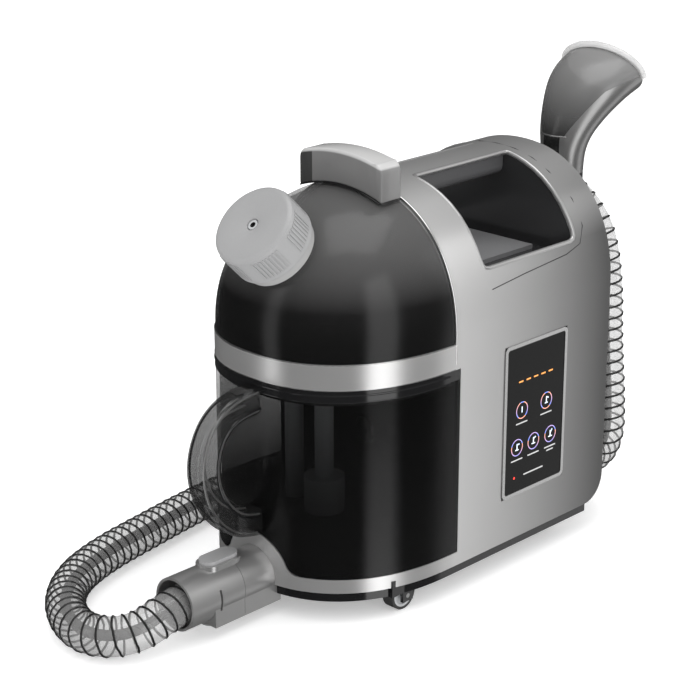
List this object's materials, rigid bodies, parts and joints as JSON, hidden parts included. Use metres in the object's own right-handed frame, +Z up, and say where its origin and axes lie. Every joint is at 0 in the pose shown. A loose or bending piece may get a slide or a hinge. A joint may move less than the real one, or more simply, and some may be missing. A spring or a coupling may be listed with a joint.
{
  "type": "portable carpet cleaner",
  "caption": "Portable carpet cleaner: domed clear water tank over a smoky waste tank, carry handle, side panel, wheels and a ribbed suction hose to a stored hand tool",
  "frame": {"origin": "on the floor, under the middle of the machine's box, measured without the hose", "axes": "+Z up, the tanks and the hose port face -Y, the control panel faces +X"},
  "size_m": [0.2926, 0.6236, 0.4055],
  "materials": {
    "shell": "satin metallic grey",
    "black_gloss": "glossy black",
    "smoky": "smoky see-through",
    "smoky_dark": "dark smoky see-through",
    "dark_matt": "fine matt",
    "light_grey": "satin",
    "pale_clear": "cloudy see-through",
    "bright_trim": "bright satin",
    "seal": "matt rubber",
    "tread": "matt rubber tread",
    "steel": "plain",
    "motor": "cast",
    "board": "matt",
    "float": "smooth",
    "nozzle": "plain",
    "hose": "glossy ribbed"
  },
  "bodies": {
    "housing": {"main_housing": "shell", "base_pan": "black_gloss", "axles": "steel", "bulkhead": "dark_matt", "rear_cover": "dark_matt", "rear_screws": "steel", "handle_recess": "dark_matt", "handle_grip": "dark_matt", "recess_tray": "light_grey", "panel_bezel": "bright_trim", "panel_glass": "black_gloss", "control_board": "board", "hose_port": "shell", "port_seal": "seal", "suction_duct": "dark_matt", "hose_connector": "shell", "suction_motor": "motor", "fan_housing": "dark_matt", "water_pump": "dark_matt", "water_heater": "motor", "air_duct": "dark_matt", "mains_inlet": "dark_matt", "hose_spool": "dark_matt", "tool_dock": "dark_matt", "suction_hose": "hose"},
    "clean_tank_body": {"clean_tank": "smoky", "clean_tank_floor": "black_gloss", "tank_grip": "pale_clear", "baffle_plates": "smoky"},
    "filler_cap_body": {"filler_cap": "light_grey", "vent_plug": "light_grey", "cap_seal": "seal"},
    "outlet_valve_body": {"outlet_valve": "seal"},
    "waste_tank_body": {"waste_tank": "smoky_dark", "waste_lid": "black_gloss", "lid_seal": "seal", "inlet_tube": "smoky_dark", "air_tube": "smoky_dark", "float_cage": "light_grey", "tank_handle": "smoky_dark"},
    "float_body": {"float_ball": "float"},
    "button_top_body": {"latch_button_top": "light_grey"},
    "button_low_body": {"latch_button_low": "light_grey"},
    "fan_body": {"fan_rotor": "light_grey"},
    "tool_body": {"hose_cuff": "black_gloss", "tool_grip": "dark_matt", "tool_shell": "shell", "tool_window": "smoky", "spray_nozzle": "nozzle"},
    "trigger_body": {"tool_trigger": "black_gloss"},
    "wheel_front_left_body": {"wheel_front_left": "bright_trim", "tyre_front_left": "tread"},
    "wheel_front_right_body": {"wheel_front_right": "bright_trim", "tyre_front_right": "tread"},
    "wheel_rear_left_body": {"wheel_rear_left": "bright_trim", "tyre_rear_left": "tread"},
    "wheel_rear_right_body": {"wheel_rear_right": "bright_trim", "tyre_rear_right": "tread"}
  },
  "joints": [
    {"name": "clean_tank_lift", "type": "slide", "parent": "housing", "child": "clean_tank_body", "axis": [0, 0, 1], "range_m": [0, 0.15]},
    {"name": "filler_cap_turn", "type": "hinge", "parent": "clean_tank_body", "child": "filler_cap_body", "pos_m": [0, -0.1821, 0.3279], "axis": [0, -0.7193, 0.6947], "range_deg": [0, 90]},
    {"name": "outlet_valve_lift", "type": "slide", "parent": "clean_tank_body", "child": "outlet_valve_body", "axis": [0, 0, 1], "range_m": [0, 0.003], "stiffness_N_per_m": 200, "springref_m": -0.002},
    {"name": "waste_tank_slide", "type": "slide", "parent": "housing", "child": "waste_tank_body", "axis": [0, -1, 0], "range_m": [0, 0.14]},
    {"name": "float_rise", "type": "slide", "parent": "waste_tank_body", "child": "float_body", "axis": [0, 0, 1], "range_m": [0, 0.0105]},
    {"name": "button_top_press", "type": "slide", "parent": "housing", "child": "button_top_body", "axis": [0, 0, -1], "range_m": [0, 0.0015], "stiffness_N_per_m": 300, "springref_m": -0.002},
    {"name": "button_low_press", "type": "slide", "parent": "housing", "child": "button_low_body", "axis": [0, 0, 1], "range_m": [0, 0.0015], "stiffness_N_per_m": 300, "springref_m": -0.002},
    {"name": "fan_spin", "type": "hinge", "parent": "housing", "child": "fan_body", "pos_m": [0, 0.041, 0.08], "axis": [0, 0, 1], "continuous": true},
    {"name": "tool_lift", "type": "slide", "parent": "housing", "child": "tool_body", "axis": [0, 0, 1], "range_m": [0, 0.04]},
    {"name": "trigger_pull", "type": "slide", "parent": "tool_body", "child": "trigger_body", "axis": [0, -1, 0], "range_m": [0, 0.003], "stiffness_N_per_m": 400, "springref_m": -0.002},
    {"name": "wheel_front_left_roll", "type": "hinge", "parent": "housing", "child": "wheel_front_left_body", "pos_m": [-0.086, -0.104, 0.0137], "axis": [1, 0, 0], "continuous": true},
    {"name": "wheel_front_right_roll", "type": "hinge", "parent": "housing", "child": "wheel_front_right_body", "pos_m": [0.086, -0.104, 0.0137], "axis": [1, 0, 0], "continuous": true},
    {"name": "wheel_rear_left_roll", "type": "hinge", "parent": "housing", "child": "wheel_rear_left_body", "pos_m": [-0.072, 0.111, 0.0137], "axis": [1, 0, 0], "continuous": true},
    {"name": "wheel_rear_right_roll", "type": "hinge", "parent": "housing", "child": "wheel_rear_right_body", "pos_m": [0.072, 0.111, 0.0137], "axis": [1, 0, 0], "continuous": true}
  ]
}
